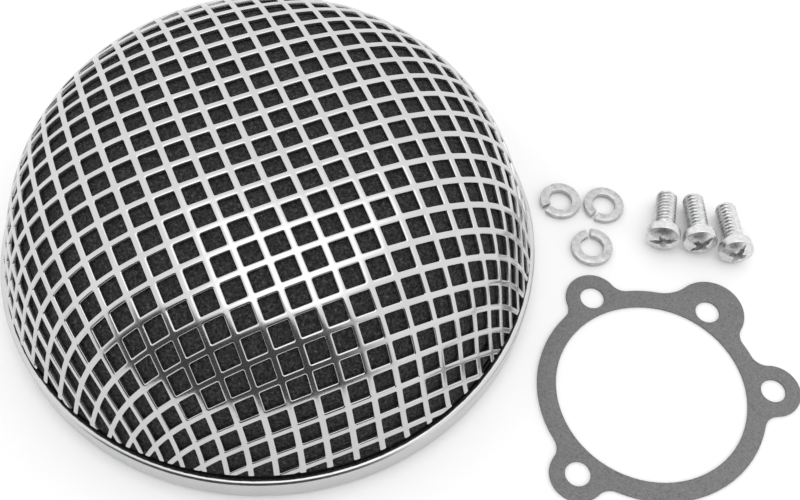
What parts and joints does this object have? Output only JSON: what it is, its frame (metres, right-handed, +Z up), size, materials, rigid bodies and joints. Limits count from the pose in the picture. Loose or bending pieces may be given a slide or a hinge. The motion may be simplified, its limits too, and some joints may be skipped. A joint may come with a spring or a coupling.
{
  "type": "air filter",
  "caption": "Round domed air filter with a chromed square-grid cover over black foam on a dished backing plate, with its carburettor gasket, lock washers and screws laid beside it.",
  "frame": {"origin": "middle of the layout's bounding box, on the surface that everything stands on", "axes": "+Z up along the dome's axis, +X from the filter towards the gasket and screws"},
  "size_m": [0.227, 0.1524, 0.0566],
  "materials": {
    "plate_chrome": "bright chrome plate on pressed sheet steel",
    "dome_chrome": "bright chrome plate on punched and drawn sheet steel, with softly rounded edges",
    "black_foam": "black open-cell polyurethane foam, matt",
    "plain_steel": "plain steel screen",
    "black_spring_steel": "blackened spring steel",
    "gasket_fibre": "grey pressed fibre sheet with fine darker and lighter specks, matt",
    "zinc_steel": "bright zinc plate on steel, slightly dull"
  },
  "bodies": {
    "plate": {"backing_plate": "plate_chrome"},
    "cover": {"mesh_dome": "dome_chrome", "cover_tab_1": "black_spring_steel", "cover_tab_2": "black_spring_steel", "cover_tab_3": "black_spring_steel"},
    "element": {"foam_element": "black_foam", "support_screen": "plain_steel"},
    "gasket": {"gasket": "gasket_fibre"},
    "lock_washer_1": {"lock_washer_1": "zinc_steel"},
    "lock_washer_2": {"lock_washer_2": "zinc_steel"},
    "lock_washer_3": {"lock_washer_3": "zinc_steel"},
    "screw_1": {"screw_1": "zinc_steel"},
    "screw_2": {"screw_2": "zinc_steel"},
    "screw_3": {"screw_3": "zinc_steel"}
  },
  "joints": [
    {"name": "cover_lift", "type": "slide", "parent": "plate", "child": "cover", "axis": [0, 0, 1], "range_m": [0, 0.08]},
    {"name": "element_lift", "type": "slide", "parent": "plate", "child": "element", "axis": [0, 0, 1], "range_m": [0, 0.036]},
    {"name": "gasket_lift", "type": "slide", "parent": "plate", "child": "gasket", "axis": [0, 0, 1], "range_m": [0, 0.03]},
    {"name": "lock_washer_1_lift", "type": "slide", "parent": "plate", "child": "lock_washer_1", "axis": [0, 0, 1], "range_m": [0, 0.03]},
    {"name": "lock_washer_2_lift", "type": "slide", "parent": "plate", "child": "lock_washer_2", "axis": [0, 0, 1], "range_m": [0, 0.03]},
    {"name": "lock_washer_3_lift", "type": "slide", "parent": "plate", "child": "lock_washer_3", "axis": [0, 0, 1], "range_m": [0, 0.03]},
    {"name": "screw_1_lift", "type": "slide", "parent": "plate", "child": "screw_1", "axis": [0, 0, 1], "range_m": [0, 0.03]},
    {"name": "screw_2_lift", "type": "slide", "parent": "plate", "child": "screw_2", "axis": [0, 0, 1], "range_m": [0, 0.03]},
    {"name": "screw_3_lift", "type": "slide", "parent": "plate", "child": "screw_3", "axis": [0, 0, 1], "range_m": [0, 0.03]}
  ],
  "couplings": [
    {"joint": "element_lift", "follows": "cover_lift", "ratio": 0.45}
  ]
}
